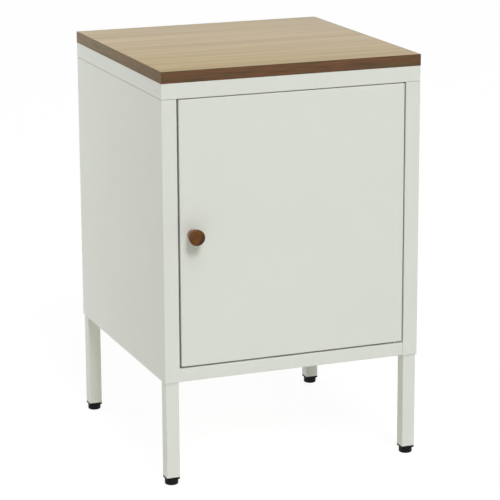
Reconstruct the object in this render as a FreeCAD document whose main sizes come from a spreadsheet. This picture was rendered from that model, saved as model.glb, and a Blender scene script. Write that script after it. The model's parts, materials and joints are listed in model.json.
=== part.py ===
import FreeCAD, Part
import os
import re
import Sketcher

# Bedside cabinet on four square legs: folded sheet steel case, board on top,
# one inset door hinged at the right, levelling feet. Millimetres, X right,
# Y back, Z up, origin on the floor under the middle of the whole outline.

sizes = {
    # Case
    "case_width": 400,
    "case_depth": 400,
    "sheet": 0.8,
    "bend_radius": 1.6,
    "rail_height": 20,
    "door_opening_height": 395,
    "pan_height": 23,
    "pan_lip": 14,
    "pan_front_lip": 40,
    "stile_lip": 16,
    "stile_overlap": 1.4,
    "side_flange": 15,
    "rear_flange": 20,
    "rail_lip": 12,
    "rail_setback": 0.8,
    "back_flange": 15,
    "seam_gap": 0.3,
    "panel_gap": 0.4,
    # Board and its edge bands
    "board_thickness": 17,
    "band_thickness": 1,
    # Shelf and the rails under it
    "shelf_level": 190,
    "shelf_setback": 32,
    "shelf_flange": 20,
    "shelf_lip": 8,
    "shelf_gap": 0.5,
    "shelf_rail_height": 12,
    "shelf_rail_width": 12,
    "shelf_rail_clear": 3,
    # Door
    "door_gap_left": 2.7,
    "door_gap_right": 1.9,
    "door_gap_top": 1.2,
    "door_gap_bottom": 2.4,
    "door_depth": 18,
    "door_lip": 10,
    "door_corner_radius": 2,
    "stiffener_width": 50,
    "stiffener_depth": 14,
    "stiffener_flange": 12,
    "stiffener_end_gap": 6,
    # Hinge pins, bushes and plates
    "hinge_inset": 9.8,
    "hinge_setback": 5.5,
    "hinge_plate_length": 36,
    "hinge_plate_thickness": 2,
    "hinge_pin_diameter": 4,
    "hinge_pin_head_diameter": 8,
    "hinge_pin_head_height": 1.5,
    "hinge_pin_reach": 8,
    "bush_diameter": 6,
    "bush_flange_diameter": 7,
    "bush_body": 5,
    "bush_play": 0.2,
    "upper_bush_flange": 1,
    "running_clearance": 0.05,
    "fixed_clearance": 0.05,
    # Knob
    "knob_projection": 24,
    "knob_face_diameter": 23.5,
    "knob_base_diameter": 15,
    "knob_rim": 4.5,
    "knob_round": 2.4,
    "knob_inset": 18.1,
    "knob_bore_depth": 15,
    "knob_screw_diameter": 4,
    "knob_screw_bite": 12,
    "knob_screw_head_diameter": 8,
    "knob_screw_head_height": 2.4,
    "knob_washer_diameter": 12,
    "knob_washer_thickness": 1,
    # Magnetic catch
    "catch_length": 36,
    "catch_depth": 14,
    "catch_height": 12.4,
    "catch_wall": 2,
    "catch_ear": 10,
    "catch_ear_height": 3,
    "catch_inset": 60,
    "catch_gap": 0.4,
    "catch_fit": 0.1,
    "pole_thickness": 1.5,
    "magnet_setback": 1,
    "catch_screw_length": 7,
    # Legs
    "leg_size": 20,
    "leg_wall": 1.2,
    "leg_corner_radius": 1.5,
    "leg_clear_height": 145,
    "leg_notch_gap": 2,
    "nut_plate_thickness": 6,
    "nut_plate_gap": 0.1,
    "leg_bolt_diameter": 6,
    "leg_bolt_length": 12,
    "leg_bolt_head_diameter": 11,
    "leg_bolt_head_height": 3.5,
    # Plugs and levelling feet
    "plug_lip": 3,
    "plug_insert": 16,
    "plug_gap": 0.15,
    "plug_corner_radius": 1,
    "foot_diameter": 20,
    "foot_height": 9,
    "foot_round": 2,
    "foot_socket_depth": 5,
    "stud_diameter": 8,
    "stud_length": 24,
    "stud_chamfer": 1,
    # Sheet screws
    "screw_diameter": 3,
    "screw_head_diameter": 6.5,
    "screw_head_height": 2,
    "screw_bite": 4,
    "board_screw_bite": 11,
    "board_screw_inset": 55,
    "screw_edge": 8,
    "screw_end_inset": 60,
    "hole_clearance": 0.3,
    "overrun": 1,
}

# Places worked out from the sizes
places = {
    "left": "-case_width / 2",
    "right": "case_width / 2",
    "front": "(knob_projection - case_depth) / 2",
    "back": "(knob_projection + case_depth) / 2",
    "leg_bottom": "foot_height + plug_lip",
    "case_bottom": "leg_bottom + leg_clear_height",
    "floor_top": "case_bottom + rail_height",
    "floor_under": "floor_top - sheet",
    "pan_bottom": "floor_top + door_opening_height",
    "pan_top": "pan_bottom + pan_height",
    "side_height": "pan_bottom - case_bottom",
    "leg_inset": "2 * sheet",
    "stile_width": "leg_size + leg_inset + stile_overlap",
    "leg_zone": "stile_width + leg_notch_gap",
    "leg_left": "left + leg_inset",
    "leg_right": "right - leg_inset - leg_size",
    "leg_front": "front + leg_inset",
    "leg_back": "back - leg_inset - leg_size",
    "leg_bore": "leg_size - 2 * leg_wall",
    "rail_left": "left + stile_width + seam_gap",
    "rail_length": "case_width - 2 * (stile_width + seam_gap)",
    "rail_front": "front + rail_setback",
    "floor_front": "rail_front + bend_radius",
    "inner_back": "back - 2 * sheet",
    "door_left": "left + stile_width + door_gap_left",
    "door_width": "case_width - 2 * stile_width - door_gap_left - door_gap_right",
    "door_right": "door_left + door_width",
    "door_bottom": "floor_top + door_gap_bottom",
    "door_height": "door_opening_height - door_gap_bottom - door_gap_top",
    "door_top": "door_bottom + door_height",
    "door_inner_depth": "door_depth - 2 * sheet",
    "hinge_place_x": "door_right - hinge_inset",
    "hinge_place_y": "front + hinge_setback",
    "lower_bush_flange": "door_gap_bottom - bush_play",
    "pin_hole_diameter": "hinge_pin_diameter + 2 * fixed_clearance",
    "bush_hole_diameter": "bush_diameter + 2 * fixed_clearance",
    "knob_place_x": "door_left + knob_inset",
    "knob_place_z": "door_bottom + door_height / 2",
    "shelf_bottom": "floor_top + shelf_level",
    "shelf_left": "left + sheet + shelf_gap",
    "shelf_width": "case_width - 2 * (sheet + shelf_gap)",
    "shelf_front": "front + shelf_setback",
    "shelf_back": "inner_back - shelf_gap",
    "shelf_depth": "shelf_back - shelf_front",
    "shelf_rail_length": "shelf_depth - 2 * shelf_rail_clear",
    "catch_left": "door_left + catch_inset",
    "catch_front": "front + door_depth + catch_gap",
    "catch_bottom": "pan_bottom - catch_height",
    "catch_pocket_length": "catch_length - 2 * catch_wall",
    "catch_pocket_height": "catch_height - 2 * catch_wall",
    "screw_hole_diameter": "screw_diameter + hole_clearance",
    "pilot_diameter": "screw_diameter + 2 * fixed_clearance",
    "stud_bore_diameter": "stud_diameter + 2 * running_clearance",
    "stud_socket_diameter": "stud_diameter + 2 * fixed_clearance",
}

doc = FreeCAD.newDocument("bedside_cabinet")


def bind(text):
    """Point each named size in an expression at its sheet."""

    def cell(match):
        word = match.group()
        if word in sizes:
            return f"Sizes.{word}"
        if word in places:
            return f"Places.{word}"
        return word

    return re.sub(r"[a-z_]+", cell, text)


def fill_sheet(name, rows):
    table = doc.addObject("Spreadsheet::Sheet", name)
    for row, (alias, text) in enumerate(rows.items(), start=1):
        table.set(f"A{row}", alias)
        table.set(f"B{row}", text)
        table.setAlias(f"B{row}", alias)
    return table


size_sheet = fill_sheet("Sizes", {alias: str(number) for alias, number in sizes.items()})
fill_sheet("Places", {alias: "=" + bind(text) for alias, text in places.items()})
doc.recompute()

nodes = []


def keep(shape_object):
    """Count an object as a finished sub-part."""
    nodes.append(shape_object)
    return shape_object


def measure(text):
    """Value of an expression in named sizes and places."""
    return float(size_sheet.evalExpression(bind(text)))


def put(shape_object, at):
    """Bind an object's place to three expressions."""
    for axis, text in zip("xyz", at):
        shape_object.setExpression(f".Placement.Base.{axis}", bind(text))
    return shape_object


def box(name, size, at):
    block = doc.addObject("Part::Box", name)
    for side, text in zip(("Length", "Width", "Height"), size):
        block.setExpression(side, bind(text))
    return put(block, at)


turns = {
    "up": FreeCAD.Rotation(),
    "down": FreeCAD.Rotation(FreeCAD.Vector(1, 0, 0), 180),
    "forward": FreeCAD.Rotation(FreeCAD.Vector(1, 0, 0), 90),
    "backward": FreeCAD.Rotation(FreeCAD.Vector(1, 0, 0), -90),
}


def cylinder(name, diameter, height, at, way="up"):
    rod = doc.addObject("Part::Cylinder", name)
    rod.setExpression("Radius", bind(f"({diameter}) / 2"))
    rod.setExpression("Height", bind(height))
    rod.Placement.Rotation = turns[way]
    return put(rod, at)


def hole(name, diameter, depth, at, way="up"):
    """Cutting rod from overrun before the given place to overrun past its depth."""
    axis, sign = {"up": "z-", "down": "z+", "forward": "y+", "backward": "y-"}[way]
    start = [f"{text} {sign} overrun" if letter == axis else text for letter, text in zip("xyz", at)]
    return cylinder(name, diameter, f"{depth} + 2 * overrun", start, way)


def fuse(name, pieces):
    joined = doc.addObject("Part::MultiFuse", name)
    joined.Shapes = pieces
    joined.Refine = True
    return joined


def cut(name, base, tools):
    trimmed = doc.addObject("Part::Cut", name)
    trimmed.Base = base
    trimmed.Tool = tools[0] if len(tools) == 1 else fuse(name + "_tools", tools)
    trimmed.Refine = True
    return trimmed


def group(name, pieces):
    bundle = doc.addObject("Part::Compound", name)
    bundle.Links = pieces
    return keep(bundle)


def mirror_to_right(name, source):
    """Mirror image of a left-hand piece across the middle plane."""
    twin = doc.addObject("Part::Mirroring", name)
    twin.Source = source
    twin.Normal = FreeCAD.Vector(1, 0, 0)
    return keep(twin)


# Two measures closer than this are the same
match_tolerance = 0.00001


def near(first, second):
    return abs(first - second) < match_tolerance


def edge_along(edge, direction):
    """True for a straight edge that runs along one of the axes."""
    if edge.Curve.TypeId != "Part::GeomLine":
        return False
    return near(abs(edge.Curve.Direction.dot(direction)), 1)


def round_edges(name, base, radius_alias, wanted):
    """Fillet every edge of base that wanted(edge) accepts."""
    doc.recompute()
    radius = measure(radius_alias)
    rounded = doc.addObject("Part::Fillet", name)
    rounded.Base = base
    chosen = [spot for spot, edge in enumerate(base.Shape.Edges, start=1) if wanted(edge)]
    rounded.Edges = [(spot, radius, radius) for spot in chosen]
    return rounded


def outline(sketch, corners):
    """Closed outline whose corners are pairs of bound expressions, 0 meaning on the axis."""
    points = [FreeCAD.Vector(measure(across), measure(along), 0) for across, along in corners]
    for start, end in zip(points, points[1:] + points[:1]):
        sketch.addGeometry(Part.LineSegment(start, end), False)
    count = len(points)
    for spot in range(count):
        sketch.addConstraint(Sketcher.Constraint("Coincident", spot, 2, (spot + 1) % count, 1))
    for spot, corner in enumerate(corners):
        for kind, text, axis in zip(("DistanceX", "DistanceY"), corner, (-2, -1)):
            if text == "0":
                sketch.addConstraint(Sketcher.Constraint("PointOnObject", spot, 1, axis))
            else:
                place = sketch.addConstraint(Sketcher.Constraint(kind, spot, 1, measure(text)))
                sketch.setExpression(f"Constraints[{place}]", bind(text))


def plane_of(body, role):
    return next(item for item in body.Origin.OriginFeatures if item.Role == role)


def turned(name, corners, at, way="up"):
    """Lathe-turned piece: corners are (radius, height) pairs, axis along its own Z."""
    body = doc.addObject("PartDesign::Body", name)
    sketch = body.newObject("Sketcher::SketchObject", name + "_profile")
    sketch.AttachmentSupport = [(plane_of(body, "XZ_Plane"), "")]
    sketch.MapMode = "FlatFace"
    outline(sketch, corners)
    spun = body.newObject("PartDesign::Revolution", name + "_turn")
    spun.Profile = sketch
    spun.ReferenceAxis = (sketch, ["V_Axis"])
    spun.Angle = 360
    body.Placement.Rotation = turns[way]
    put(body, at)
    doc.recompute()
    return keep(body)


def round_rims(body, radius_alias, wanted):
    """Fillet the round rims of a turned body that wanted(radius, height) accepts."""
    base = body.Tip
    rims = []
    for spot, edge in enumerate(base.Shape.Edges, start=1):
        curve = edge.Curve
        if curve.TypeId == "Part::GeomCircle" and wanted(curve.Radius, curve.Center.z):
            rims.append(f"Edge{spot}")
    rounded = body.newObject("PartDesign::Fillet", f"{body.Name}_{radius_alias}")
    rounded.Base = (base, rims)
    rounded.setExpression("Radius", bind(radius_alias))
    doc.recompute()


along_x = FreeCAD.Vector(1, 0, 0)
along_y = FreeCAD.Vector(0, 1, 0)
along_z = FreeCAD.Vector(0, 0, 1)


def screw(name, at, way, bite):
    """Pan-head screw: its head's seat is at the given place, its shank runs the given way."""
    opposite = {"up": "down", "down": "up", "forward": "backward", "backward": "forward"}
    head = cylinder(name + "_head", "screw_head_diameter", "screw_head_height", at, opposite[way])
    shank = cylinder(name + "_shank", "screw_diameter", bite, at, way)
    return fuse(name, [head, shank])


# Board and edge bands
def build_board():
    core = box(
        "top_board_core",
        ("case_width - 2 * band_thickness", "case_depth - 2 * band_thickness", "board_thickness"),
        ("left + band_thickness", "front + band_thickness", "pan_top"),
    )
    pilots = []
    for spot, (x, y) in enumerate(board_screw_places()):
        place = (x, y, "pan_top")
        pilots.append(hole(f"board_pilot_{spot}", "pilot_diameter", "board_screw_bite", place))
    keep(cut("top_board", core, pilots))
    for name, y in (("front", "front"), ("back", "back - band_thickness")):
        size = ("case_width", "band_thickness", "board_thickness")
        keep(box(f"edge_band_{name}", size, ("left", y, "pan_top")))
    for name, x in (("left", "left"), ("right", "right - band_thickness")):
        size = ("band_thickness", "case_depth - 2 * band_thickness", "board_thickness")
        keep(box(f"edge_band_{name}", size, (x, "front + band_thickness", "pan_top")))


def board_screw_places():
    for x in ("left + board_screw_inset", "right - board_screw_inset"):
        for y in ("front + board_screw_inset", "back - board_screw_inset"):
            yield x, y


# Places along a side, for the screws through its top and bottom flanges
def side_screw_places():
    for x in ("left + screw_edge", "right - screw_edge"):
        for y in ("front + screw_end_inset", "(front + back) / 2", "back - screw_end_inset"):
            yield x, y


# Top pan: shallow steel tray, open below, with a return lip all round
def build_top_pan():
    block = box(
        "pan_block",
        ("case_width", "case_depth", "pan_height"),
        ("left", "front", "pan_bottom"),
    )
    rounded = round_edges(
        "pan_rounded",
        block,
        "bend_radius",
        lambda edge: edge_along(edge, along_z) or near(edge.CenterOfMass.z, measure("pan_bottom")),
    )
    hollow = box(
        "pan_hollow",
        ("case_width - 2 * sheet", "case_depth - 2 * sheet", "pan_height - 2 * sheet"),
        ("left + sheet", "front + sheet", "pan_bottom + sheet"),
    )
    mouth = box(
        "pan_mouth",
        ("case_width - 2 * pan_lip", "case_depth - pan_lip - pan_front_lip", "sheet + 2 * overrun"),
        ("left + pan_lip", "front + pan_front_lip", "pan_bottom - overrun"),
    )
    tools = [hollow, mouth]
    for spot, (x, y) in enumerate(board_screw_places()):
        place = (x, y, "pan_top - sheet")
        tools.append(hole(f"pan_board_hole_{spot}", "screw_hole_diameter", "sheet", place))
    for spot, (x, y) in enumerate(side_screw_places()):
        place = (x, y, "pan_bottom")
        tools.append(hole(f"pan_side_hole_{spot}", "screw_hole_diameter", "sheet", place))
    for spot, (x, y) in enumerate(catch_screw_places()):
        place = (x, y, "pan_bottom")
        tools.append(hole(f"pan_catch_hole_{spot}", "screw_hole_diameter", "sheet", place))
    bush_place = ("hinge_place_x", "hinge_place_y", "pan_bottom")
    tools.append(hole("pan_bush_hole", "bush_hole_diameter", "sheet", bush_place))
    keep(cut("top_pan", rounded, tools))


# Stile beside the door opening: its face and, round a bend, the lip behind it
def build_stile_fold():
    block = box(
        "stile_block",
        ("stile_width", "stile_lip", "door_opening_height"),
        ("left", "front", "floor_top"),
    )

    def inner_bend(edge):
        at_opening = near(edge.CenterOfMass.x, measure("left + stile_width"))
        at_front = near(edge.CenterOfMass.y, measure("front"))
        return edge_along(edge, along_z) and at_opening and at_front

    rounded = round_edges("stile_rounded", block, "bend_radius", inner_bend)
    wide = "stile_width - sheet + overrun"
    deep = "stile_lip - sheet + overrun"
    hollow = box(
        "stile_hollow",
        (wide, deep, "door_opening_height + 2 * overrun"),
        ("left - overrun", "front + sheet", "floor_top - overrun"),
    )
    return cut("stile_fold", rounded, [hollow])


# Side panels: wall, front stile with its lip, rear flange, top and bottom flanges
def build_side_panels():
    walls = [
        build_stile_fold(),
        box("side_wall", ("sheet", "case_depth", "side_height"), ("left", "front", "case_bottom")),
        box("side_stile_foot", ("stile_width", "sheet", "rail_height"), ("left", "front", "case_bottom")),
        box(
            "side_rear",
            ("rear_flange", "sheet", "side_height"),
            ("left", "back - sheet", "case_bottom"),
        ),
        box(
            "side_top",
            ("side_flange", "case_depth - 2 * sheet", "sheet"),
            ("left", "front", "pan_bottom - sheet"),
        ),
        box(
            "side_bottom",
            ("side_flange", "case_depth - 2 * leg_zone", "sheet"),
            ("left", "front + leg_zone", "case_bottom"),
        ),
    ]
    folded = fuse("side_folded", walls)

    def outer_corner(edge):
        at_side = near(edge.CenterOfMass.x, measure("left"))
        at_front = near(edge.CenterOfMass.y, measure("front"))
        at_back = near(edge.CenterOfMass.y, measure("back"))
        return edge_along(edge, along_z) and at_side and (at_front or at_back)

    rounded = round_edges("side_rounded", folded, "bend_radius", outer_corner)
    holes = []
    for spot, (x, y) in enumerate(side_screw_places()):
        if x.startswith("left"):
            for name, z in (("top", "pan_bottom - sheet"), ("low", "case_bottom")):
                drill = hole(f"side_{name}_hole_{spot}", "screw_hole_diameter", "sheet", (x, y, z))
                holes.append(drill)
    for spot, (x, z) in enumerate(back_screw_places()):
        if x.startswith("left"):
            place = (x, "back - sheet", z)
            drill = hole(f"side_rear_hole_{spot}", "screw_hole_diameter", "sheet", place, "backward")
            holes.append(drill)
    mirror_to_right("side_panel_right", keep(cut("side_panel_left", rounded, holes)))


def back_screw_places():
    levels = (
        "floor_top + screw_end_inset",
        "(floor_top + pan_bottom) / 2",
        "pan_bottom - screw_end_inset",
    )
    for x in ("left + rear_flange / 2", "right - rear_flange / 2"):
        for z in levels:
            yield x, z


# Back panel: flat sheet with a flange at its top and bottom
def build_back_panel():
    folds = [
        box(
            "back_sheet",
            ("case_width - 2 * (sheet + panel_gap)", "sheet", "door_opening_height"),
            ("left + sheet + panel_gap", "inner_back", "floor_top"),
        ),
        box(
            "back_top",
            ("case_width - 2 * (side_flange + panel_gap)", "back_flange", "sheet"),
            ("left + side_flange + panel_gap", "inner_back - back_flange", "pan_bottom - sheet"),
        ),
        box(
            "back_bottom",
            ("case_width - 2 * leg_zone", "back_flange", "sheet"),
            ("left + leg_zone", "inner_back - back_flange", "floor_top"),
        ),
    ]
    holes = []
    for spot, (x, z) in enumerate(back_screw_places()):
        place = (x, "inner_back", z)
        holes.append(hole(f"back_hole_{spot}", "screw_hole_diameter", "sheet", place, "backward"))
    keep(cut("back_panel", fuse("back_folded", folds), holes))


# Front rail between the stiles: channel with two outer bends, open to the back
def build_rail():
    rail_place = ("rail_left", "rail_front", "case_bottom")
    block = box("rail_block", ("rail_length", "rail_lip", "rail_height"), rail_place)

    def outer_bend(edge):
        return edge_along(edge, along_x) and near(edge.CenterOfMass.y, measure("rail_front"))

    rounded = round_edges("rail_rounded", block, "bend_radius", outer_bend)
    hollow = box(
        "rail_hollow",
        ("rail_length + 2 * overrun", "rail_lip - sheet + overrun", "rail_height - 2 * sheet"),
        ("rail_left - overrun", "rail_front + sheet", "case_bottom + sheet"),
    )
    return cut("floor_rail", rounded, [hollow])


# Bottom panel: floor, front rail, flanges down at the sides and back
def build_bottom_panel():
    flange_height = "rail_height - sheet"
    between_legs = "case_depth - 2 * leg_zone"
    folds = [
        build_rail(),
        box(
            "floor_sheet",
            ("case_width - 2 * sheet", "back - sheet - floor_front", "sheet"),
            ("left + sheet", "floor_front", "floor_under"),
        ),
        box(
            "floor_rear",
            ("case_width - 2 * sheet", "sheet", flange_height),
            ("left + sheet", "inner_back", "case_bottom + sheet"),
        ),
    ]
    for name, wall, lip in (
        ("left", "left + sheet", "left + sheet"),
        ("right", "right - 2 * sheet", "right - side_flange"),
    ):
        folds.append(
            box(
                f"floor_side_{name}",
                ("sheet", "case_depth - 2 * sheet", flange_height),
                (wall, "front + sheet", "case_bottom + sheet"),
            )
        )
        folds.append(
            box(
                f"floor_lip_{name}",
                ("side_flange - sheet", between_legs, "sheet"),
                (lip, "front + leg_zone", "case_bottom + sheet"),
            )
        )
    folded = fuse("floor_folded", folds)
    bush_place = ("hinge_place_x", "hinge_place_y", "floor_under")
    holes = [hole("floor_bush_hole", "bush_hole_diameter", "sheet", bush_place)]
    for name, x, y in leg_places():
        place = (f"{x} + leg_size / 2", f"{y} + leg_size / 2", "floor_under")
        wide = "leg_bolt_diameter + hole_clearance"
        holes.append(hole(f"floor_bolt_hole_{name}", wide, "sheet", place))
    for spot, (x, y) in enumerate(side_screw_places()):
        place = (x, y, "case_bottom + sheet")
        holes.append(hole(f"floor_lip_hole_{spot}", "screw_hole_diameter", "sheet", place))
    keep(cut("bottom_panel", folded, holes))


# Shelf on two rails
def build_shelf():
    low = "shelf_bottom + sheet - shelf_flange"
    corner = ("shelf_left", "shelf_front")
    fold = ("shelf_width", "sheet", "shelf_flange")
    folds = [
        box("shelf_plate", ("shelf_width", "shelf_depth", "sheet"), (*corner, "shelf_bottom")),
        box("shelf_front_fold", fold, (*corner, low)),
        box("shelf_front_lip", ("shelf_width", "shelf_lip", "sheet"), (*corner, low)),
        box("shelf_back_fold", fold, ("shelf_left", "shelf_back - sheet", low)),
    ]
    keep(fuse("shelf", folds))
    start = "shelf_front + shelf_rail_clear"
    rail = fuse(
        "shelf_rail_left",
        [
            box(
                "shelf_rail_wall",
                ("sheet", "shelf_rail_length", "shelf_rail_height"),
                ("left + sheet", start, "shelf_bottom - shelf_rail_height"),
            ),
            box(
                "shelf_rail_ledge",
                ("shelf_rail_width", "shelf_rail_length", "sheet"),
                ("left + sheet", start, "shelf_bottom - sheet"),
            ),
        ],
    )
    mirror_to_right("shelf_rail_right", keep(rail))


# Door: steel tray with return lips, a hat-section stiffener inside it
def build_door():
    block = box(
        "door_block",
        ("door_width", "door_depth", "door_height"),
        ("door_left", "front", "door_bottom"),
    )
    corners = round_edges(
        "door_corners",
        block,
        "door_corner_radius",
        lambda edge: edge_along(edge, along_y),
    )
    rounded = round_edges(
        "door_rounded",
        corners,
        "bend_radius",
        lambda edge: near(edge.CenterOfMass.y, measure("front")),
    )
    hollow = box(
        "door_hollow",
        ("door_width - 2 * sheet", "door_inner_depth", "door_height - 2 * sheet"),
        ("door_left + sheet", "front + sheet", "door_bottom + sheet"),
    )
    mouth = box(
        "door_mouth",
        ("door_width - 2 * door_lip", "sheet + 2 * overrun", "door_height - 2 * door_lip"),
        ("door_left + door_lip", "front + door_depth - sheet - overrun", "door_bottom + door_lip"),
    )
    pin_place = ("hinge_place_x", "hinge_place_y")
    holes = [
        hole("door_pin_hole_lower", "pin_hole_diameter", "sheet", (*pin_place, "door_bottom")),
        hole("door_pin_hole_upper", "pin_hole_diameter", "sheet", (*pin_place, "door_top - sheet")),
        hole(
            "door_knob_hole",
            "knob_screw_diameter + hole_clearance",
            "sheet",
            ("knob_place_x", "front", "knob_place_z"),
            "backward",
        ),
    ]
    keep(cut("door_skin", rounded, [hollow, mouth, *holes]))

    middle = "door_left + door_width / 2"
    low = "door_bottom + sheet + stiffener_end_gap"
    tall = "door_height - 2 * (sheet + stiffener_end_gap)"
    near_side = f"{middle} - stiffener_width / 2"
    far_side = f"{middle} + stiffener_width / 2"
    folds = [
        box(
            "stiffener_web",
            ("stiffener_width", "sheet", tall),
            (near_side, "front + stiffener_depth", low),
        ),
        box(
            "stiffener_wall_near",
            ("sheet", "stiffener_depth", tall),
            (near_side, "front + sheet", low),
        ),
        box(
            "stiffener_wall_far",
            ("sheet", "stiffener_depth", tall),
            (f"{far_side} - sheet", "front + sheet", low),
        ),
        box(
            "stiffener_foot_near",
            ("stiffener_flange + sheet", "sheet", tall),
            (f"{near_side} - stiffener_flange", "front + sheet", low),
        ),
        box(
            "stiffener_foot_far",
            ("stiffener_flange + sheet", "sheet", tall),
            (f"{far_side} - sheet", "front + sheet", low),
        ),
    ]
    keep(fuse("door_stiffener", folds))


# Hinge: plates in the door, pins through them, flanged bushes in the case
def build_hinge():
    for name, low in (
        ("lower", "door_bottom + sheet"),
        ("upper", "door_top - sheet - hinge_plate_thickness"),
    ):
        plate = box(
            f"hinge_plate_{name}_block",
            ("hinge_plate_length", "door_inner_depth", "hinge_plate_thickness"),
            ("door_right - sheet - hinge_plate_length", "front + sheet", low),
        )
        drill = hole(
            f"hinge_plate_{name}_hole",
            "pin_hole_diameter",
            "hinge_plate_thickness",
            ("hinge_place_x", "hinge_place_y", low),
        )
        keep(cut(f"hinge_plate_{name}", plate, [drill]))
    inner = "sheet + hinge_plate_thickness + hinge_pin_head_height"
    axis = ("hinge_place_x", "hinge_place_y")
    for name, gap, head, way in (
        ("lower", "door_gap_bottom", f"door_bottom + {inner}", "down"),
        ("upper", "door_gap_top", f"door_top - ({inner})", "up"),
    ):
        pin_length = f"{inner} + {gap} + hinge_pin_reach"
        pin = [
            ("0", "0"),
            ("hinge_pin_head_diameter / 2", "0"),
            ("hinge_pin_head_diameter / 2", "hinge_pin_head_height"),
            ("hinge_pin_diameter / 2", "hinge_pin_head_height"),
            ("hinge_pin_diameter / 2", pin_length),
            ("0", pin_length),
        ]
        turned(f"hinge_pin_{name}", pin, (*axis, head), way)
    for name, flange, seat, way in (
        ("lower", "lower_bush_flange", "floor_top + lower_bush_flange", "down"),
        ("upper", "upper_bush_flange", "pan_bottom - upper_bush_flange", "up"),
    ):
        bush = [
            ("hinge_pin_diameter / 2 + running_clearance", "0"),
            ("bush_flange_diameter / 2", "0"),
            ("bush_flange_diameter / 2", flange),
            ("bush_diameter / 2", flange),
            ("bush_diameter / 2", f"{flange} + bush_body"),
            ("hinge_pin_diameter / 2 + running_clearance", f"{flange} + bush_body"),
        ]
        turned(f"hinge_bush_{name}", bush, (*axis, seat), way)


# Knob: turned wooden cone with its screw and washer
def build_knob():
    bore = "knob_screw_diameter / 2 + fixed_clearance"
    profile = [
        (bore, "0"),
        ("knob_base_diameter / 2", "0"),
        ("knob_face_diameter / 2", "knob_projection - knob_rim"),
        ("knob_face_diameter / 2", "knob_projection"),
        ("0", "knob_projection"),
        ("0", "knob_bore_depth"),
        (bore, "knob_bore_depth"),
    ]
    knob = turned("knob", profile, ("knob_place_x", "front", "knob_place_z"), "forward")
    round_rims(
        knob,
        "knob_round",
        lambda radius, height: near(radius, measure("knob_face_diameter / 2"))
        and near(height, measure("knob_projection")),
    )
    length = "knob_screw_head_height + knob_washer_thickness + sheet + knob_screw_bite"
    shape = [
        ("0", "0"),
        ("knob_screw_head_diameter / 2", "0"),
        ("knob_screw_head_diameter / 2", "knob_screw_head_height"),
        ("knob_screw_diameter / 2", "knob_screw_head_height"),
        ("knob_screw_diameter / 2", length),
        ("0", length),
    ]
    seat = "front + sheet + knob_washer_thickness"
    head = f"{seat} + knob_screw_head_height"
    turned("knob_screw", shape, ("knob_place_x", head, "knob_place_z"), "forward")
    ring = [
        ("(knob_screw_diameter + hole_clearance) / 2", "0"),
        ("knob_washer_diameter / 2", "0"),
        ("knob_washer_diameter / 2", "knob_washer_thickness"),
        ("(knob_screw_diameter + hole_clearance) / 2", "knob_washer_thickness"),
    ]
    turned("knob_washer", ring, ("knob_place_x", seat, "knob_place_z"), "forward")


# Magnetic catch under the pan's front lip, its poles facing the door's top lip
def catch_screw_places():
    for x in ("catch_left - catch_ear / 2", "catch_left + catch_length + catch_ear / 2"):
        yield x, "catch_front + catch_depth / 2"


def build_catch():
    case = fuse(
        "catch_case",
        [
            box(
                "catch_block",
                ("catch_length", "catch_depth", "catch_height"),
                ("catch_left", "catch_front", "catch_bottom"),
            ),
            box(
                "catch_ears",
                ("catch_length + 2 * catch_ear", "catch_depth", "catch_ear_height"),
                ("catch_left - catch_ear", "catch_front", "pan_bottom - catch_ear_height"),
            ),
        ],
    )
    pocket = box(
        "catch_pocket",
        ("catch_pocket_length", "catch_depth - catch_wall + overrun", "catch_pocket_height"),
        ("catch_left + catch_wall", "catch_front - overrun", "catch_bottom + catch_wall"),
    )
    tools = [pocket]
    for spot, (x, y) in enumerate(catch_screw_places()):
        place = (x, y, "pan_bottom - catch_ear_height")
        tools.append(hole(f"catch_hole_{spot}", "screw_hole_diameter", "catch_ear_height", place))
    keep(cut("catch_housing", case, tools))
    deep = "catch_depth - catch_wall - catch_fit"
    wide = "catch_pocket_length - 2 * catch_fit"
    inside = "catch_left + catch_wall + catch_fit"
    low = "catch_bottom + catch_wall + catch_fit"
    gap = "catch_pocket_height - 2 * catch_fit - 2 * pole_thickness"
    poles = []
    for name, z in (("lower", low), ("upper", f"{low} + pole_thickness + {gap}")):
        place = (inside, "catch_front", z)
        poles.append(box(f"catch_pole_{name}", (wide, deep, "pole_thickness"), place))
    group("catch_poles", poles)
    keep(
        box(
            "catch_magnet",
            (wide, f"{deep} - magnet_setback", gap),
            (inside, "catch_front + magnet_setback", f"{low} + pole_thickness"),
        )
    )
    screws = []
    for spot, (x, y) in enumerate(catch_screw_places()):
        place = (x, y, "pan_bottom - catch_ear_height")
        screws.append(screw(f"catch_screw_{spot}", place, "up", "catch_screw_length"))
    group("catch_screws", screws)


# Legs: square tubes with a nut plate in the top, a plug and a levelling foot in the bottom
def leg_places():
    for side, x in (("left", "leg_left"), ("right", "leg_right")):
        for end, y in (("front", "leg_front"), ("back", "leg_back")):
            yield f"{end}_{side}", x, y


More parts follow.
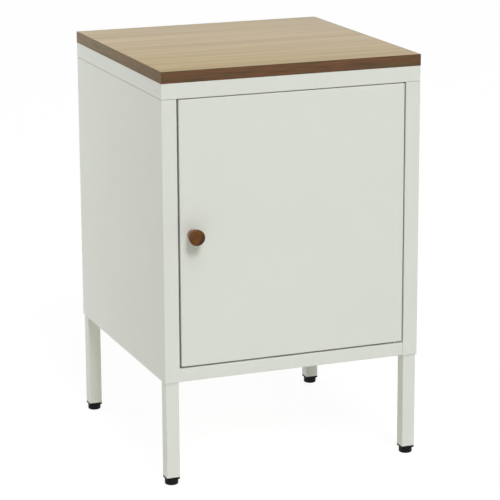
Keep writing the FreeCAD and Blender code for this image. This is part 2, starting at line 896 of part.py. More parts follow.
def build_legs():
    plates = []
    bolts = []
    for name, x, y in leg_places():
        long = "floor_under - leg_bottom"
        block = box(f"leg_{name}_block", ("leg_size", "leg_size", long), (x, y, "leg_bottom"))
        rounded = round_edges(
            f"leg_{name}_rounded",
            block,
            "leg_corner_radius",
            lambda edge: edge_along(edge, along_z),
        )
        inside = box(
            f"leg_{name}_bore",
            ("leg_bore", "leg_bore", f"{long} + 2 * overrun"),
            (f"{x} + leg_wall", f"{y} + leg_wall", "leg_bottom - overrun"),
        )
        keep(cut(f"leg_{name}", rounded, [inside]))

        middle = (f"{x} + leg_size / 2", f"{y} + leg_size / 2")
        plate_low = "floor_under - nut_plate_thickness"
        plate = box(
            f"nut_plate_{name}_block",
            ("leg_bore - 2 * nut_plate_gap", "leg_bore - 2 * nut_plate_gap", "nut_plate_thickness"),
            (f"{x} + leg_wall + nut_plate_gap", f"{y} + leg_wall + nut_plate_gap", plate_low),
        )
        tap = hole(
            f"nut_plate_{name}_tap",
            "leg_bolt_diameter + 2 * fixed_clearance",
            "nut_plate_thickness",
            (*middle, plate_low),
        )
        plates.append(cut(f"nut_plate_{name}", plate, [tap]))
        seat = (*middle, "floor_top")
        head = cylinder(
            f"leg_bolt_{name}_head",
            "leg_bolt_head_diameter",
            "leg_bolt_head_height",
            seat,
        )
        shank = cylinder(
            f"leg_bolt_{name}_shank",
            "leg_bolt_diameter",
            "leg_bolt_length",
            seat,
            "down",
        )
        bolts.append(fuse(f"leg_bolt_{name}", [head, shank]))
    group("leg_nut_plates", plates)
    group("leg_bolts", bolts)


def build_feet():
    for name, x, y in leg_places():
        middle = (f"{x} + leg_size / 2", f"{y} + leg_size / 2")
        lip = box(f"plug_{name}_lip", ("leg_size", "leg_size", "plug_lip"), (x, y, "foot_height"))
        lip_round = round_edges(
            f"plug_{name}_lip_round",
            lip,
            "leg_corner_radius",
            lambda edge: edge_along(edge, along_z),
        )
        width = "leg_bore - 2 * plug_gap"
        start = (f"{x} + leg_wall + plug_gap", f"{y} + leg_wall + plug_gap", "foot_height")
        tall = "plug_lip + plug_insert"
        insert = box(f"plug_{name}_insert", (width, width, tall), start)
        insert_round = round_edges(
            f"plug_{name}_insert_round",
            insert,
            "plug_corner_radius",
            lambda edge: edge_along(edge, along_z),
        )
        bore = hole(f"plug_{name}_bore", "stud_bore_diameter", tall, (*middle, "foot_height"))
        keep(cut(f"leg_plug_{name}", fuse(f"plug_{name}_body", [lip_round, insert_round]), [bore]))

        socket = "foot_height - foot_socket_depth"
        pad = turned(
            f"foot_pad_{name}",
            [
                ("0", "0"),
                ("foot_diameter / 2", "0"),
                ("foot_diameter / 2", "foot_height"),
                ("stud_socket_diameter / 2", "foot_height"),
                ("stud_socket_diameter / 2", socket),
                ("0", socket),
            ],
            (*middle, "0"),
        )
        round_rims(
            pad,
            "foot_round",
            lambda radius, height: near(radius, measure("foot_diameter / 2")) and near(height, 0),
        )
        top = "foot_socket_depth + stud_length"
        turned(
            f"foot_stud_{name}",
            [
                ("0", "0"),
                ("stud_diameter / 2", "0"),
                ("stud_diameter / 2", f"{top} - stud_chamfer"),
                ("stud_diameter / 2 - stud_chamfer", top),
                ("0", top),
            ],
            (*middle, socket),
        )


# Screws that hold the board, the pan, the floor and the back
def build_screws():
    board = []
    for spot, (x, y) in enumerate(board_screw_places()):
        place = (x, y, "pan_top - sheet")
        board.append(screw(f"board_screw_{spot}", place, "up", "board_screw_bite"))
    group("top_board_screws", board)
    pan = []
    floor = []
    for spot, (x, y) in enumerate(side_screw_places()):
        pan.append(screw(f"pan_screw_{spot}", (x, y, "pan_bottom - sheet"), "up", "screw_bite"))
        floor.append(screw(f"floor_screw_{spot}", (x, y, "case_bottom"), "up", "screw_bite"))
    group("top_pan_screws", pan)
    group("floor_screws", floor)
    rear = []
    for spot, (x, z) in enumerate(back_screw_places()):
        rear.append(screw(f"back_screw_{spot}", (x, "inner_back", z), "backward", "2 * sheet"))
    group("back_panel_screws", rear)


build_board()
build_top_pan()
build_side_panels()
build_back_panel()
build_bottom_panel()
build_shelf()
build_door()
build_hinge()
build_knob()
build_catch()
build_legs()
build_feet()
build_screws()
doc.recompute()

faults = [item.Name for item in doc.Objects if "Invalid" in item.State or "Error" in item.State]
if faults:
    raise RuntimeError("failed to build: " + ", ".join(faults))
for node in nodes:
    if node.Shape.isNull() or not node.Shape.isValid():
        raise RuntimeError("bad shape: " + node.Label)

os.makedirs("parts", exist_ok=True)
for node in nodes:
    node.Shape.exportStep(f"parts/{node.Label}.step")
    print(node.Label, len(node.Shape.Solids), "solids", round(node.Shape.Volume), "mm3")
print(len(nodes), "nodes")
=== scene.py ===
import itertools
import json
import math

import bmesh
import bpy
from mathutils import Matrix, Vector


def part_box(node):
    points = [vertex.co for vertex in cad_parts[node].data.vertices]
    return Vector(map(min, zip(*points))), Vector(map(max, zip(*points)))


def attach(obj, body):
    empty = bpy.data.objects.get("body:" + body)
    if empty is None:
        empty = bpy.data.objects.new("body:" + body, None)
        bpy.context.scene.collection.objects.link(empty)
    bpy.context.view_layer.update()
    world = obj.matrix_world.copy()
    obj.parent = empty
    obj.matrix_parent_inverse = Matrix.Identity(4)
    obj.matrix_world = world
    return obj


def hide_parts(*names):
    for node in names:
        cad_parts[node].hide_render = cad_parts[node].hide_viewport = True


# Bedside cabinet: painted steel case on square legs, wood-look board on top, turned knob
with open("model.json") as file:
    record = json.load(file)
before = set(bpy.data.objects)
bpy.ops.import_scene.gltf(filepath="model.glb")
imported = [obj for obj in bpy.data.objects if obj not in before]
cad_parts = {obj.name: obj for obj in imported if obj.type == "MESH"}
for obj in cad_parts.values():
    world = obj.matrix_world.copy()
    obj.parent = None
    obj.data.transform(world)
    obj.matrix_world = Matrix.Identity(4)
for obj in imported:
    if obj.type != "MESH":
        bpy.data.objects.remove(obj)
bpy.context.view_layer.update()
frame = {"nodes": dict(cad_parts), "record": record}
cadNodes = frame["nodes"]
millimetre = 0.001
weld = 0.002 * millimetre
print("frame loaded:", len(cadNodes), "nodes")


# small helpers for node trees

noiseSpan = (0.3, 0.7)  # most of a noise's values lie between these


def startMaterial(name):
    material = bpy.data.materials.new(name)
    material.use_nodes = True
    tree = material.node_tree
    return material, tree, tree.nodes["Principled BSDF"]


def feed(tree, node, inputs):
    for key, value in inputs.items():
        if isinstance(value, bpy.types.NodeSocket):
            tree.links.new(value, node.inputs[key])
        else:
            node.inputs[key].default_value = value


def addNode(tree, kind, inputs=None, **settings):
    node = tree.nodes.new(kind)
    for key, value in settings.items():
        setattr(node, key, value)
    feed(tree, node, inputs or {})
    return node


def objectPlace(tree):
    return addNode(tree, "ShaderNodeTexCoord").outputs["Object"]


def noise(tree, place, grain):
    if "stretch" in grain:
        inputs = {"Vector": place, "Scale": grain["stretch"]}
        place = addNode(tree, "ShaderNodeMapping", inputs).outputs["Vector"]
    inputs = {
        "Vector": place,
        "Scale": grain.get("scale", 1),
        "Detail": grain["detail"],
        "Roughness": grain["roughness"],
        "Distortion": grain.get("distortion", 0),
    }
    return addNode(tree, "ShaderNodeTexNoise", inputs).outputs["Fac"]


def remap(tree, value, span, levels):
    inputs = {
        "Value": value,
        "From Min": span[0],
        "From Max": span[1],
        "To Min": levels[0],
        "To Max": levels[1],
    }
    return addNode(tree, "ShaderNodeMapRange", inputs).outputs["Result"]


def ramp(tree, factor, stops, tones):
    node = addNode(tree, "ShaderNodeValToRGB", {"Fac": factor})
    band = node.color_ramp
    while len(band.elements) < len(stops):
        band.elements.new(0.5)
    for element, stop, tone in zip(band.elements, stops, tones):
        element.position = stop
        element.color = (*tone, 1)
    return node.outputs["Color"]


def grey(level):
    return (level, level, level)


def mixTones(tree, share, first, second, way="MIX"):
    node = addNode(tree, "ShaderNodeMixRGB", blend_type=way)
    feed(tree, node, {"Fac": share, "Color1": first, "Color2": second})
    return node.outputs["Color"]


def tinted(tree, tone, tint, share=1):
    return mixTones(tree, share, tone, tint, "MULTIPLY")


def finishShader(tree, shader, tone, roughGrain, height, look):
    rough = remap(tree, roughGrain, noiseSpan, look["roughness"])
    inputs = {"Height": height, "Strength": look["bumpStrength"], "Distance": look["bumpDepth"]}
    relief = addNode(tree, "ShaderNodeBump", inputs).outputs["Normal"]
    feed(tree, shader, {"Base Color": tone, "Roughness": rough, "Normal": relief})
    shader.inputs["Specular IOR Level"].default_value = look["specular"]


# powder coat on sheets and tubes: soft cloud of tone, fine peel and finer grain; the peel's
# hollows carry a faint painted shade

paintLook = {
    "pale": (0.722, 0.745, 0.715),
    "dull": (0.712, 0.735, 0.705),
    "toneStops": (0.30, 0.62),
    "cloud": {"scale": 7, "detail": 4, "roughness": 0.55},
    "peel": {"scale": 650, "detail": 2, "roughness": 0.45},
    # painted shade: the tone drops a little in the peel's hollows
    "peelPitShade": 0.975,
    "pitStops": (0.26, 0.42),
    "grain": {"scale": 2600, "detail": 1, "roughness": 0.5},
    "grainShare": 0.25,
    "roughness": (0.30, 0.42),
    "specular": 0.12,
    "bumpDepth": 0.06 * millimetre,
    "bumpStrength": 0.5,
}


def makePaint(name, look):
    material, tree, shader = startMaterial(name)
    place = objectPlace(tree)
    cloud = noise(tree, place, look["cloud"])
    peel = noise(tree, place, look["peel"])
    grain = noise(tree, place, look["grain"])
    tone = ramp(tree, cloud, look["toneStops"], (look["dull"], look["pale"]))
    # painted shade: darker where the peel bump is lowest, in its hollows
    pitShade = ramp(tree, peel, look["pitStops"], (grey(look["peelPitShade"]), grey(1)))
    height = addNode(tree, "ShaderNodeMath", operation="MULTIPLY_ADD")
    feed(tree, height, {0: grain, 1: look["grainShare"], 2: peel})
    finishShader(tree, shader, tinted(tree, tone, pitShade), peel, height.outputs[0], look)
    return material


# wood-look laminate on the board: grain runs from side to side

boardLook = {
    "light": (0.577, 0.446, 0.247),
    "mid": (0.541, 0.414, 0.224),
    "dark": (0.487, 0.364, 0.190),
    "toneStops": (0.28, 0.48, 0.70),
    "wander": {"stretch": (1.5, 6, 6), "detail": 2, "roughness": 0.5},
    "wanderReach": (-0.02, 0.02),
    "streak": {"stretch": (1.4, 26, 26), "detail": 3, "roughness": 0.5},
    "band": {"stretch": (3.2, 95, 95), "detail": 2, "roughness": 0.5},
    "bandTones": ((0.90, 0.885, 0.86), (1.05, 1.05, 1.05)),
    "bandStops": (0.34, 0.62),
    "fibre": {"stretch": (5, 330, 330), "detail": 3, "roughness": 0.6},
    "fibreTones": ((0.86, 0.85, 0.83), (1.07, 1.07, 1.07)),
    "fibreStops": (0.30, 0.66),
    "fibreShare": 0.8,
    "pore": {"stretch": (38, 1100, 1100), "detail": 1, "roughness": 0.5},
    "poreTones": ((0.66, 0.60, 0.54), (1, 1, 1)),
    "poreStops": (0.26, 0.36),
    "poreShare": 0.7,
    "roughness": (0.34, 0.46),
    "specular": 0.22,
    "bumpDepth": 0.08 * millimetre,
    "bumpStrength": 0.25,
}


def makeBoardFace(name, look):
    material, tree, shader = startMaterial(name)
    wander = noise(tree, objectPlace(tree), look["wander"])
    sway = remap(tree, wander, (0, 1), look["wanderReach"])
    bend = addNode(tree, "ShaderNodeCombineXYZ", {"Y": sway})
    place = addNode(tree, "ShaderNodeVectorMath", operation="ADD")
    feed(tree, place, {0: objectPlace(tree), 1: bend.outputs[0]})
    streak, band, fibre, pore = (
        noise(tree, place.outputs[0], look[key]) for key in ("streak", "band", "fibre", "pore")
    )
    tone = ramp(tree, streak, look["toneStops"], (look["dark"], look["mid"], look["light"]))
    tone = tinted(tree, tone, ramp(tree, band, look["bandStops"], look["bandTones"]))
    fibreTone = ramp(tree, fibre, look["fibreStops"], look["fibreTones"])
    tone = tinted(tree, tone, fibreTone, look["fibreShare"])
    poreTone = ramp(tree, pore, look["poreStops"], look["poreTones"])
    tone = tinted(tree, tone, poreTone, look["poreShare"])
    finishShader(tree, shader, tone, fibre, fibre, look)
    return material


# dark edge bands: reddish and olive streaks; the two ends are duller, and their paler tone,
# growing towards the back, is painted sheen

edgeLook = {
    "red": (0.164, 0.066, 0.034),
    "olive": (0.127, 0.075, 0.030),
    "brown": (0.136, 0.066, 0.030),
    "dark": (0.083, 0.045, 0.022),
    "warmStops": (0.30, 0.46, 0.66),
    "coolStops": (0.30, 0.62),
    "streak": {"stretch": (22, 22, 360), "detail": 3, "roughness": 0.6, "distortion": 0.3},
    "hue": {"stretch": (14, 14, 260), "detail": 2, "roughness": 0.5},
    "hueSpan": (0.40, 0.60),
    "fibre": {"stretch": (34, 34, 1300), "detail": 3, "roughness": 0.6},
    "fibreTones": ((0.74, 0.74, 0.75), (1.12, 1.10, 1.08)),
    "fibreStops": (0.30, 0.68),
    "fibreShare": 0.85,
    "roughness": (0.38, 0.52),
    "specular": 0.25,
    "bumpDepth": 0.1 * millimetre,
    "bumpStrength": 0.3,
}
# end bands: paler tones than the front and back bands, painted sheen
endSheenLook = {
    **edgeLook,
    "red": (0.190, 0.118, 0.054),
    "olive": (0.166, 0.122, 0.050),
    "brown": (0.166, 0.110, 0.046),
    "dark": (0.112, 0.076, 0.038),
    "specular": 0.10,
    # painted sheen: paler and greyer towards the back
    "drift": ((0.92, 0.70, 0.43), (1.40, 1.50, 1.88)),  # tint at the front and at the back
}


def makeBoardEdge(name, look):
    material, tree, shader = startMaterial(name)
    place = objectPlace(tree)
    streak, hue, fibre = (noise(tree, place, look[key]) for key in ("streak", "hue", "fibre"))
    warm = ramp(tree, streak, look["warmStops"], (look["dark"], look["brown"], look["red"]))
    cool = ramp(tree, streak, look["coolStops"], (look["dark"], look["olive"]))
    tone = mixTones(tree, remap(tree, hue, look["hueSpan"], (0, 1)), warm, cool)
    fibreTone = ramp(tree, fibre, look["fibreStops"], look["fibreTones"])
    tone = tinted(tree, tone, fibreTone, look["fibreShare"])
    # painted sheen: the end bands grow paler towards the back
    if "drift" in look:
        low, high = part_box("top_board")
        depth = addNode(tree, "ShaderNodeSeparateXYZ", {"Vector": place}).outputs["Y"]
        share = remap(tree, depth, (low.y, high.y), (0, 1))
        tone = tinted(tree, tone, ramp(tree, share, (0, 1), look["drift"]))
    finishShader(tree, shader, tone, fibre, fibre, look)
    return material


# knob: oiled wood, grain across the face; painted shade darkens it to the lower right and painted
# sheen makes it paler at the neck

knobLook = {
    "red": (0.178, 0.061, 0.008),
    "brown": (0.128, 0.046, 0.006),
    "dark": (0.064, 0.027, 0.006),
    "toneStops": (0.28, 0.46, 0.66),
    "streak": {"stretch": (160, 25, 300), "detail": 3, "roughness": 0.55, "distortion": 0.8},
    # painted shade on the lower right of the face
    "heart": (0.030, 0.016, 0.005),
    "paintedShadeWay": Vector((0.84, 0, -0.54)),
    "paintedShadeReach": (2 * millimetre, 9.5 * millimetre),
    # painted sheen on the neck
    "neck": (0.300, 0.160, 0.090),
    "neckSheenReach": (-2 * millimetre, 8 * millimetre),
    "fibre": {"stretch": (500, 90, 2200), "detail": 2, "roughness": 0.6},
    "fibreTones": ((0.74, 0.71, 0.68), (1.10, 1.10, 1.10)),
    "fibreStops": (0.30, 0.68),
    "fibreShare": 0.8,
    "roughness": (0.28, 0.38),
    "specular": 0.22,
    "bumpDepth": 0.06 * millimetre,
    "bumpStrength": 0.25,
}


def makeKnobWood(name, look):
    material, tree, shader = startMaterial(name)
    place = objectPlace(tree)
    streak, fibre = (noise(tree, place, look[key]) for key in ("streak", "fibre"))
    tone = ramp(tree, streak, look["toneStops"], (look["dark"], look["brown"], look["red"]))
    low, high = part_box("knob")
    # painted shade: darker towards the lower right of the face
    arm = addNode(tree, "ShaderNodeVectorMath", operation="SUBTRACT")
    feed(tree, arm, {0: place, 1: (low + high) / 2})
    across = addNode(tree, "ShaderNodeVectorMath", operation="DOT_PRODUCT")
    feed(tree, across, {0: arm.outputs[0], 1: look["paintedShadeWay"]})
    share = remap(tree, across.outputs["Value"], look["paintedShadeReach"], (0, 1))
    tone = mixTones(tree, share, tone, (*look["heart"], 1))
    # painted sheen: paler towards the neck
    depth = addNode(tree, "ShaderNodeSeparateXYZ", {"Vector": arm.outputs[0]}).outputs["Y"]
    share = remap(tree, depth, look["neckSheenReach"], (0, 1))
    tone = mixTones(tree, share, tone, (*look["neck"], 1))
    fibreTone = ramp(tree, fibre, look["fibreStops"], look["fibreTones"])
    tone = tinted(tree, tone, fibreTone, look["fibreShare"])
    finishShader(tree, shader, tone, fibre, fibre, look)
    return material


# moulded plastics and the ferrite magnet: fine even texture, slight drift of tone

mouldedLooks = {
    "footPlastic": {"tone": (0.006, 0.006, 0.006), "scale": 1800, "rough": 0.48, "specular": 0.12},
    "catchPlastic": {"tone": (0.62, 0.62, 0.59), "scale": 1500, "rough": 0.45, "specular": 0.5},
    # hinge bush: grey nylon, darkened further as painted shade of the door gap
    "bushNylonShaded": {"tone": (0.36, 0.355, 0.32), "scale": 1500, "rough": 0.40, "specular": 0.5},
    "catchFerrite": {"tone": (0.045, 0.042, 0.040), "scale": 1400, "rough": 0.62, "specular": 0.4},
}
mouldedGrain = {
    "grain": {"detail": 2, "roughness": 0.6},
    "drift": {"detail": 2, "roughness": 0.5},
    "driftShare": 0.03,
    "toneShares": (0.86, 1.18),
    "toneStops": (0.35, 0.65),
    "roughSteps": (-0.06, 0.08),
    "bumpDepth": 0.05 * millimetre,
    "bumpStrength": 0.5,
}


def makeMoulded(name, look):
    material, tree, shader = startMaterial(name)
    place = objectPlace(tree)
    scale = look["scale"]
    grain = noise(tree, place, {"scale": scale, **mouldedGrain["grain"]})
    driftScale = scale * mouldedGrain["driftShare"]
    drift = noise(tree, place, {"scale": driftScale, **mouldedGrain["drift"]})
    tones = [tuple(share * part for part in look["tone"]) for share in mouldedGrain["toneShares"]]
    tone = ramp(tree, drift, mouldedGrain["toneStops"], tones)
    roughness = tuple(look["rough"] + step for step in mouldedGrain["roughSteps"])
    surface = {**mouldedGrain, "roughness": roughness, "specular": look["specular"]}
    finishShader(tree, shader, tone, grain, grain, surface)
    return material


# zinc plating: faint blotches and drawn lines

zincLook = {
    "tones": ((0.50, 0.50, 0.48), (0.62, 0.62, 0.60), (0.66, 0.64, 0.58)),
    "toneStops": (0.30, 0.55, 0.75),
    "blotch": {"scale": 420, "detail": 3, "roughness": 0.6},
    "lines": {"stretch": (300, 300, 6000), "detail": 2, "roughness": 0.6},
    "roughness": (0.26, 0.42),
    "specular": 0.5,
    "bumpDepth": 0.03 * millimetre,
    "bumpStrength": 0.2,
}


def makeZinc(name, look):
    material, tree, shader = startMaterial(name)
    place = objectPlace(tree)
    blotch, lines = (noise(tree, place, look[key]) for key in ("blotch", "lines"))
    tone = ramp(tree, blotch, look["toneStops"], look["tones"])
    finishShader(tree, shader, tone, lines, lines, look)
    shader.inputs["Metallic"].default_value = 1
    return material


casePaint = makePaint("casePaint", paintLook)
boardFace = makeBoardFace("boardFace", boardLook)
boardEdge = makeBoardEdge("boardEdge", edgeLook)
# end bands: the edge finish with painted sheen
boardEndSheen = makeBoardEdge("boardEndSheen", endSheenLook)
knobWood = makeKnobWood("knobWood", knobLook)
moulded = {name: makeMoulded(name, look) for name, look in mouldedLooks.items()}
platedSteel = makeZinc("platedSteel", zincLook)
print("finishes made")


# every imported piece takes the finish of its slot; those replaced below don't show

finishOf = {
    "case_paint": casePaint,
    "board_face": boardFace,
    "board_edge": boardEdge,
    "knob_wood": knobWood,
    "plated_steel": platedSteel,
    "bush_nylon": moulded["bushNylonShaded"],
    "catch_plastic": moulded["catchPlastic"],
    "catch_ferrite": moulded["catchFerrite"],
    "foot_plastic": moulded["footPlastic"],
}
slotOf = {row["node"]: row["material_slot"] for row in frame["record"]["subparts"]}
for node, slot in slotOf.items():
    mesh = cadNodes[node].data
    mesh.materials.clear()
    mesh.materials.append(finishOf[slot])
print("packed pieces finished")


# new pieces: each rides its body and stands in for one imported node

sharpAngle = math.radians(32)


def finishPiece(bm, name, body, node, finish=None):
    bmesh.ops.remove_doubles(bm, verts=bm.verts, dist=weld)
    bmesh.ops.recalc_face_normals(bm, faces=bm.faces)
    mesh = bpy.data.meshes.new(name)
    bm.to_mesh(mesh)
    bm.free()
    mesh.shade_smooth()
    mesh.set_sharp_from_angle(angle=sharpAngle)
    mesh.materials.append(finish or finishOf[slotOf[node]])
    piece = bpy.data.objects.new(name, mesh)
    bpy.context.scene.collection.objects.link(piece)
    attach(piece, body)
    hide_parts(node)


def bevelEdges(bm, edges, width, segments):
    bmesh.ops.bevel(
        bm,
        geom=edges,
        offset=width,
        offset_type="OFFSET",
        affect="EDGES",
        segments=segments,
        profile=0.5,
        material=-1,
    )


def addBlock(bm, low, high):
    made = bmesh.ops.create_cube(bm, size=1)["verts"]
    bmesh.ops.scale(bm, verts=made, vec=high - low)
    bmesh.ops.translate(bm, verts=made, vec=(low + high) / 2)


# board and its four edge bands, each with eased arrises

boardShape = {"arris": 0.25 * millimetre, "segments": 2}
bandShape = {"arris": 0.45 * millimetre, "segments": 3}


def buildBoard():
    low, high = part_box("top_board")
    bm = bmesh.new()
    addBlock(bm, low, high)
    rim = [e for e in bm.edges if all(v.co.z > high.z - weld for v in e.verts)]
    bevelEdges(bm, rim, boardShape["arris"], boardShape["segments"])
    finishPiece(bm, "topBoard", "case", "top_board")


def buildBand(side, axis, outward):
    node = "edge_band_" + side
    low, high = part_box(node)
    outer = high[axis] if outward > 0 else low[axis]
    bm = bmesh.new()
    addBlock(bm, low, high)

    def isArris(edge):
        first, second = (v.co for v in edge.verts)
        onFace = abs(first[axis] - outer) < weld and abs(second[axis] - outer) < weld
        return onFace and abs(first.z - second.z) < weld

    arrises = [e for e in bm.edges if isArris(e)]
    bevelEdges(bm, arrises, bandShape["arris"], bandShape["segments"])
    finish = boardEdge if axis == 1 else boardEndSheen
    finishPiece(bm, "edgeBand" + side.capitalize(), "case", node, finish)


buildBoard()
bandSides = (("front", 1, -1), ("back", 1, 1), ("left", 0, -1), ("right", 0, 1))
for side, axis, outward in bandSides:
    buildBand(side, axis, outward)
print("board made")


# turned pieces: outlines are (radius, height) pairs in millimetres

ringReach = 0.01  # how near a vertex lies to the ring it is on, in millimetres


def onAxis(pair, centre, axis):
    return all((v.co - centre).cross(axis).length < weld for v in pair)


def spinOutline(bm, outline, centre, axis, steps, closed=True):
    across = axis.orthogonal().normalized()
    rim = [bm.verts.new(centre + (across * r + axis * h) * millimetre) for r, h in outline]
    pairs = list(zip(rim, rim[1:] + rim[:1])) if closed else list(zip(rim, rim[1:]))
    loop = [bm.edges.new(pair) for pair in pairs if not onAxis(pair, centre, axis)]
    bmesh.ops.spin(
        bm,
        geom=rim + loop,
        cent=centre,
        axis=axis,
        angle=math.tau,
        steps=steps,
        use_merge=True,
    )
    bmesh.ops.remove_doubles(bm, verts=bm.verts, dist=weld)


def radiusAndHeight(vert, centre, axis):
    arm = vert.co - centre
    height = arm.dot(axis)
    return (arm - axis * height).length / millimetre, height / millimetre


def ringEdges(bm, centre, axis, radius, height):
    def onRing(vert):
        r, h = radiusAndHeight(vert, centre, axis)
        return abs(r - radius) < ringReach and abs(h - height) < ringReach

    return [e for e in bm.edges if onRing(e.verts[0]) and onRing(e.verts[1])]


knobShape = {
    "base": 7.5,
    "length": 24.0,
    "rim": 4.5,
    "rimRound": 2.4,
    "rimSegments": 6,
    "shoulderRound": 1.8,
    "shoulderSegments": 4,
    "bore": 2.05,
    "boreDepth": 15.0,
    "steps": 96,
}


def buildKnob(shape):
    low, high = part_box("knob")
    centre = Vector(((low.x + high.x) / 2, high.y, (low.z + high.z) / 2))
    out = Vector((0, -1, 0))
    face = (high.x - low.x) / 2 / millimetre
    shoulder = shape["length"] - shape["rim"]
    outline = [
        (shape["bore"], 0),
        (shape["base"], 0),
        (face, shoulder),
        (face, shape["length"]),
        (0, shape["length"]),
        (0, shape["boreDepth"]),
        (shape["bore"], shape["boreDepth"]),
    ]
    bm = bmesh.new()
    spinOutline(bm, outline, centre, out, shape["steps"])
    rim = ringEdges(bm, centre, out, face, shape["length"])
    bevelEdges(bm, rim, shape["rimRound"] * millimetre, shape["rimSegments"])
    waist = ringEdges(bm, centre, out, face, shoulder)
    bevelEdges(bm, waist, shape["shoulderRound"] * millimetre, shape["shoulderSegments"])
    finishPiece(bm, "knobTurned", "door", "knob")


buildKnob(knobShape)
print("knob made")


# levelling feet: moulded pad with a hollow underside, threaded stud

padShape = {
    "wall": 2.0,
    "hollow": 0.8,
    "hollowLip": 0.6,
    "round": 2.0,
    "topChamfer": 0.6,
    "socket": 4.05,
    "socketDepth": 5.0,
    "roundSteps": 5,
    "steps": 72,
}
studShape = {
    "crest": 3.98,
    "core": 3.35,
    "pitch": 1.25,
    "crestFlat": 0.15,
    "rootFlat": 0.25,
    "steps": 24,
    "spareTurns": 2,
}
corners = [end + "_" + side for end in ("front", "back") for side in ("left", "right")]


def pieceName(prefix, node):
    return prefix + "".join(word.capitalize() for word in node.split("_")[-2:])


def buildPad(corner, shape):
    node = "foot_pad_" + corner
    low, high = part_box(node)
    radius = (high.x - low.x) / 2 / millimetre
    tall = (high.z - low.z) / millimetre
    centre = Vector(((low.x + high.x) / 2, (low.y + high.y) / 2, low.z))
    edge = radius - shape["round"]
    outline = [(0, shape["hollow"]), (edge - shape["wall"] - shape["hollowLip"], shape["hollow"])]
    outline.append((edge - shape["wall"], 0))
    for step in range(shape["roundSteps"] + 1):
        turn = math.pi / 2 * step / shape["roundSteps"]
        rise = shape["round"] * (1 - math.cos(turn))
        outline.append((edge + shape["round"] * math.sin(turn), rise))
    outline += [
        (radius, tall - shape["topChamfer"]),
        (radius - shape["topChamfer"], tall),
        (shape["socket"], tall),
        (shape["socket"], tall - shape["socketDepth"]),
        (0, tall - shape["socketDepth"]),
    ]
    bm = bmesh.new()
    spinOutline(bm, outline, centre, Vector((0, 0, 1)), shape["steps"])
    finishPiece(bm, pieceName("footPad", node), "foot_" + corner, node)


def cutFlat(bm, place, outward):
    everything = bm.verts[:] + bm.edges[:] + bm.faces[:]
    made = bmesh.ops.bisect_plane(
        bm,
        geom=everything,
        plane_co=place,
        plane_no=outward,
        clear_outer=True,
    )["geom_cut"]
    rim = [item for item in made if isinstance(item, bmesh.types.BMEdge)]
    bmesh.ops.edgeloop_fill(bm, edges=rim)


def buildStud(corner, shape):
    node = "foot_stud_" + corner
    low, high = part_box(node)
    up = Vector((0, 0, 1))
    middle = Vector(((low.x + high.x) / 2, (low.y + high.y) / 2, 0))
    pitch = shape["pitch"]
    flank = (pitch - shape["crestFlat"] - shape["rootFlat"]) / 2
    outline = [
        (shape["core"], 0),
        (shape["core"], shape["rootFlat"]),
        (shape["crest"], shape["rootFlat"] + flank),
        (shape["crest"], shape["rootFlat"] + flank + shape["crestFlat"]),
        (shape["core"], pitch),
    ]
    turns = math.ceil((high.z - low.z) / millimetre / pitch) + shape["spareTurns"]
    start = middle + up * (low.z - pitch * millimetre)
    bm = bmesh.new()
    rim = [bm.verts.new(start + Vector((r, 0, h)) * millimetre) for r, h in outline]
    thread = [bm.edges.new(pair) for pair in zip(rim, rim[1:])]
    steps = turns * shape["steps"]
    rise = up * (pitch * millimetre / shape["steps"])
    bmesh.ops.spin(
        bm,
        geom=rim + thread,
        cent=start,
        axis=up,
        dvec=rise,
        angle=math.tau * turns,
        steps=steps,
    )
    bmesh.ops.remove_doubles(bm, verts=bm.verts, dist=weld)
    cutFlat(bm, Vector((0, 0, low.z)), -up)
    cutFlat(bm, Vector((0, 0, high.z)), up)
    finishPiece(bm, pieceName("footStud", node), "foot_" + corner, node)


for corner in corners:
    buildPad(corner, padShape)
    buildStud(corner, studShape)
print("feet made")


# hinge bushes: flange towards the door, body through the sheet

bushShape = {"bore": 2.05, "body": 3.0, "length": 5.0, "round": 0.3, "lead": 0.5, "steps": 48}


def buildBush(end, shape):
    node = "hinge_bush_" + end
    low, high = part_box(node)
    radius = (high.x - low.x) / 2 / millimetre
    flange = (high.z - low.z) / millimetre - shape["length"]
    inward = Vector((0, 0, -1 if end == "lower" else 1))
    seat = high.z if end == "lower" else low.z
    centre = Vector(((low.x + high.x) / 2, (low.y + high.y) / 2, seat))
    tall = flange + shape["length"]
    outline = [
        (shape["bore"] + shape["round"], 0),
        (radius - shape["round"], 0),
        (radius, shape["round"]),
        (radius, flange),
        (shape["body"], flange),
        (shape["body"], tall - shape["lead"]),
        (shape["body"] - shape["lead"], tall),
        (shape["bore"], tall),
        (shape["bore"], shape["round"]),
    ]
    bm = bmesh.new()
    spinOutline(bm, outline, centre, inward, shape["steps"])
    finishPiece(bm, "hingeBush" + end.capitalize(), "case", node)


for end in ("lower", "upper"):
    buildBush(end, bushShape)
print("hinge bushes made")


# screws and bolts: domed head with a driven recess, plain shank with an eased end

crossShape = {"armHalfShare": 0.24, "leastSine": 0.001}


def crossReach(turn):
    # reach of a cross recess at each turn, as a share of its radius
    off = abs((turn + math.pi / 4) % (math.pi / 2) - math.pi / 4)
    side = crossShape["armHalfShare"] / max(math.sin(off), crossShape["leastSine"])
    return min(1 / math.cos(off), side)


def hexReach(turn):
    # reach of a hexagon recess at each turn, as a share of its radius
    off = (turn % (math.pi / 3)) - math.pi / 6
    return math.cos(math.pi / 6) / math.cos(off)


